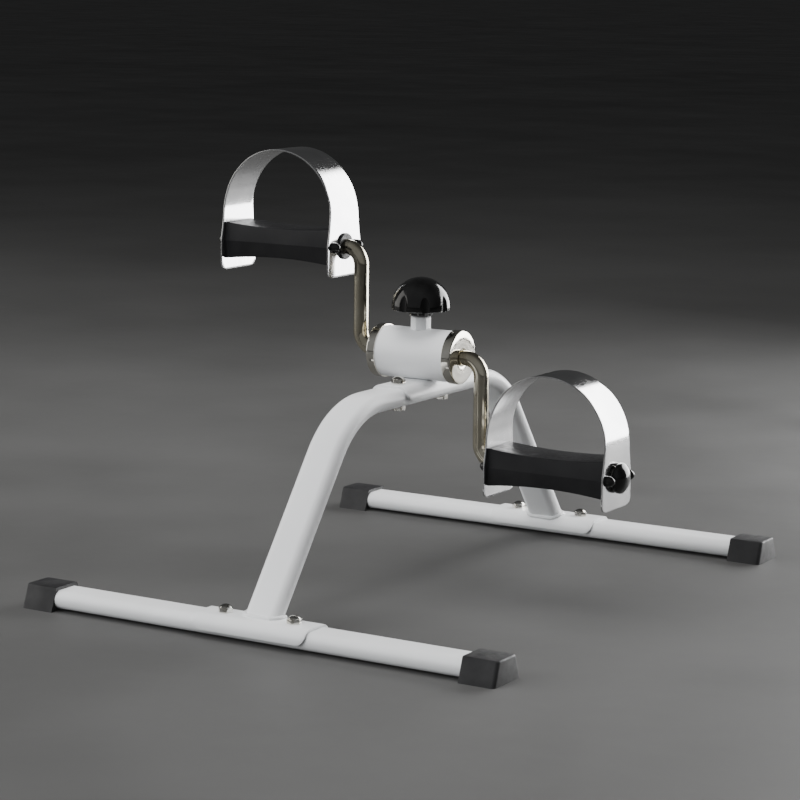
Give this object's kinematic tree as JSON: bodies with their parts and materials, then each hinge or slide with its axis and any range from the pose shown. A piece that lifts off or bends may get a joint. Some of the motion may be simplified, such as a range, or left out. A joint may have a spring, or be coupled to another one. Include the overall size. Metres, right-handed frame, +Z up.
{
  "type": "pedal exerciser",
  "caption": "Floor-standing pedal exerciser: bent oval-tube arch on two bars, one-piece crank, two strapped pedals and a screw-down friction brake.",
  "frame": {"origin": "on the floor, midway between the four rubber feet", "axes": "+X along the crank axis towards the right pedal, +Y from the front floor bar to the rear floor bar, +Z up"},
  "size_m": [0.41, 0.486, 0.339],
  "materials": {
    "white_paint": "white satin powder coat on steel",
    "black_rubber": "moulded black rubber with a fine matt grain",
    "bright_zinc": "bright zinc-plated steel",
    "chrome": "nickel-chrome plating, mirror polished",
    "nylon": "natural nylon, machined",
    "brake_pad": "dense brown fibre-filled friction block",
    "gloss_black": "glossy black moulded plastic",
    "matt_black": "matt black moulded polypropylene",
    "polished_steel": "polished stainless strip"
  },
  "bodies": {
    "frame": {"front_floor_bar": "white_paint", "rear_floor_bar": "white_paint", "front_left_cap": "black_rubber", "front_right_cap": "black_rubber", "rear_left_cap": "black_rubber", "rear_right_cap": "black_rubber", "arch_tube": "white_paint", "front_foot_saddle": "white_paint", "rear_foot_saddle": "white_paint", "foot_screws": "bright_zinc", "foot_weld_nuts": "bright_zinc", "barrel_saddle": "white_paint", "barrel_bolts": "bright_zinc", "barrel_nuts": "bright_zinc", "barrel_tube": "white_paint", "screw_boss": "white_paint", "left_end_cap": "chrome", "right_end_cap": "chrome", "left_shaft_bush": "nylon", "right_shaft_bush": "nylon", "lower_brake_block": "brake_pad"},
    "crank": {"crank_rod": "chrome", "shaft_collars": "bright_zinc", "left_axle_cap": "gloss_black", "right_axle_cap": "gloss_black", "axle_washers": "bright_zinc"},
    "left_pedal": {"left_pedal_block": "matt_black", "left_toe_strap": "polished_steel", "left_strap_screws": "gloss_black", "left_pedal_bushes": "matt_black"},
    "right_pedal": {"right_pedal_block": "matt_black", "right_toe_strap": "polished_steel", "right_strap_screws": "gloss_black", "right_pedal_bushes": "matt_black"},
    "brake_shoe": {"upper_brake_block": "brake_pad"},
    "knob": {"tension_knob": "gloss_black", "tension_screw": "bright_zinc"}
  },
  "joints": [
    {"name": "crank_spin", "type": "hinge", "parent": "frame", "child": "crank", "pos_m": [0, 0, 0.1835], "axis": [1, 0, 0], "continuous": true},
    {"name": "left_pedal_spin", "type": "hinge", "parent": "crank", "child": "left_pedal", "pos_m": [-0.12285, 0, 0.2635], "axis": [1, 0, 0], "continuous": true},
    {"name": "right_pedal_spin", "type": "hinge", "parent": "crank", "child": "right_pedal", "pos_m": [0.12285, 0, 0.1035], "axis": [1, 0, 0], "continuous": true},
    {"name": "shoe_press", "type": "slide", "parent": "frame", "child": "brake_shoe", "axis": [0, 0, 1], "range_m": [-0.00031, 0.00313]},
    {"name": "knob_turn", "type": "hinge", "parent": "brake_shoe", "child": "knob", "pos_m": [0, 0, 0.22], "axis": [0, 0, 1], "range_deg": [-90, 900]}
  ],
  "couplings": [
    {"joint": "knob_turn", "follows": "shoe_press", "rad_per_m": 5026.5}
  ]
}
